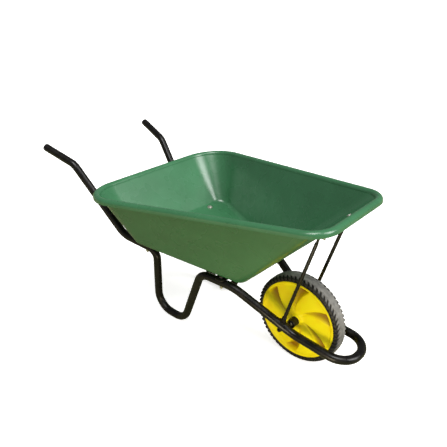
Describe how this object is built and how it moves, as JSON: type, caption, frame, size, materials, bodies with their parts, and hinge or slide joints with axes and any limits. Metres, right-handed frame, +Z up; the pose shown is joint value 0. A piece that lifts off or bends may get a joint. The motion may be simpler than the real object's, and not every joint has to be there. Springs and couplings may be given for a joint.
{
  "type": "wheelbarrow",
  "caption": "Single-wheel garden barrow: bent tube frame with U-shaped legs and a nose loop, moulded tapering tray with a rolled rim, dished moulded wheel with a solid tyre",
  "frame": {"origin": "on the ground under the middle of the overall box", "axes": "+X towards the wheel, +Y to the operator's left, +Z up"},
  "size_m": [1.418, 0.7442, 0.6595],
  "materials": {
    "black_enamel": "gloss",
    "green_plastic": "satin",
    "yellow_plastic": "satin",
    "tyre_rubber": "matte",
    "black_plastic": "matte",
    "bright_steel": "satin"
  },
  "bodies": {
    "frame": {"side_tube_left": "black_enamel", "side_tube_right": "black_enamel", "nose_loop": "black_enamel", "handle_plug_left": "black_plastic", "handle_plug_right": "black_plastic", "tray": "green_plastic", "rear_cross_brace": "black_enamel", "front_cross_brace": "black_enamel", "axle": "bright_steel", "axle_bracket_left": "black_enamel", "axle_bracket_right": "black_enamel", "stay_left": "black_enamel", "stay_right": "black_enamel", "rear_brace_bolts": "bright_steel", "rear_brace_nuts": "bright_steel", "rear_tray_bolts": "bright_steel", "rear_tray_nuts": "bright_steel", "front_tray_bolts": "bright_steel", "front_tray_nuts": "bright_steel", "front_brace_bolts": "bright_steel", "front_brace_nuts": "bright_steel", "bracket_nuts": "bright_steel", "stay_bolts": "bright_steel", "stay_nuts": "bright_steel", "tray_washers": "bright_steel"},
    "wheel": {"wheel_hub": "yellow_plastic", "wheel_bush_left": "black_plastic", "wheel_bush_right": "black_plastic", "tyre": "tyre_rubber"}
  },
  "joints": [
    {"name": "wheel_spin", "type": "hinge", "parent": "frame", "child": "wheel", "pos_m": [0.45, 0, 0.175], "axis": [0, 1, 0], "continuous": true}
  ]
}
